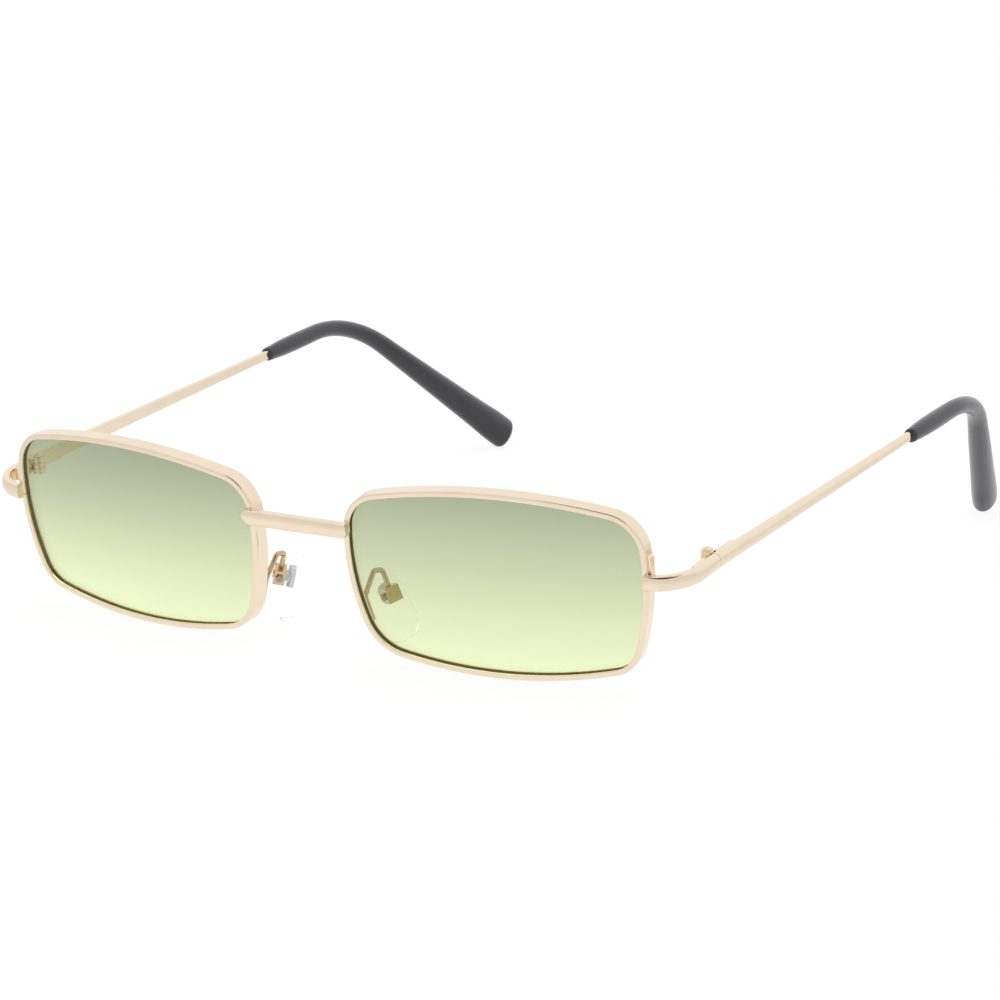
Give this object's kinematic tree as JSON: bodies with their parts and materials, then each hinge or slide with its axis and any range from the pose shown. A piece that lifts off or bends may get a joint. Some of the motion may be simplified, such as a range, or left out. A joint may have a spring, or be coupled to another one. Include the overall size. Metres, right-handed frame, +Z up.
{
  "type": "sunglasses",
  "caption": "Narrow rectangular metal sunglasses with graduated green tinted lenses, adjustable nose pads and folding temples with dark plastic tips.",
  "frame": {"origin": "centre of the footprint of the opened frame standing on its rims and temple tips, on the surface that it stands on", "axes": "+Z up, -Y the way the lenses face, +X towards the wearer's left"},
  "size_m": [0.1334, 0.1486, 0.0316],
  "materials": {
    "frame_metal": "pale gold plated, polished",
    "screw_steel": "plated",
    "tinted_lens": "clear tint, darker at the top",
    "tip_plastic": "moulded, satin gloss",
    "insert_plastic": "moulded",
    "pad_plastic": "clear, soft"
  },
  "bodies": {
    "front": {"bridge": "frame_metal", "left_rim": "frame_metal", "left_lens": "tinted_lens", "left_end_piece": "frame_metal", "left_closing_block_lower": "frame_metal", "left_closing_block_upper": "frame_metal", "left_closing_screw": "screw_steel", "left_hinge_front": "frame_metal", "left_hinge_screw": "screw_steel", "left_pad_arm": "frame_metal", "left_pad_box": "frame_metal", "left_pad_screw": "screw_steel", "right_rim": "frame_metal", "right_lens": "tinted_lens", "right_end_piece": "frame_metal", "right_closing_block_lower": "frame_metal", "right_closing_block_upper": "frame_metal", "right_closing_screw": "screw_steel", "right_hinge_front": "frame_metal", "right_hinge_screw": "screw_steel", "right_pad_arm": "frame_metal", "right_pad_box": "frame_metal", "right_pad_screw": "screw_steel"},
    "left_temple": {"left_hinge_temple": "frame_metal", "left_temple": "frame_metal", "left_temple_tip": "tip_plastic"},
    "left_pad": {"left_pad_insert": "insert_plastic", "left_nose_pad": "pad_plastic"},
    "right_temple": {"right_hinge_temple": "frame_metal", "right_temple": "frame_metal", "right_temple_tip": "tip_plastic"},
    "right_pad": {"right_pad_insert": "insert_plastic", "right_nose_pad": "pad_plastic"}
  },
  "joints": [
    {"name": "left_temple_fold", "type": "hinge", "parent": "front", "child": "left_temple", "pos_m": [0.06395, -0.05429, 0.02076], "axis": [0, -0.1557, 0.9878], "range_deg": [0, 88.5]},
    {"name": "right_temple_fold", "type": "hinge", "parent": "front", "child": "right_temple", "pos_m": [-0.06395, -0.05429, 0.02076], "axis": [0, 0.1557, -0.9878], "range_deg": [0, 83.5]},
    {"name": "left_pad_rock", "type": "hinge", "parent": "front", "child": "left_pad", "pos_m": [0.011, -0.06192, 0.01004], "axis": [0.5093, 0.8032, 0.3092], "range_deg": [-8, 8]},
    {"name": "right_pad_rock", "type": "hinge", "parent": "front", "child": "right_pad", "pos_m": [-0.011, -0.06192, 0.01004], "axis": [-0.5093, 0.8032, 0.3092], "range_deg": [-8, 8]}
  ]
}
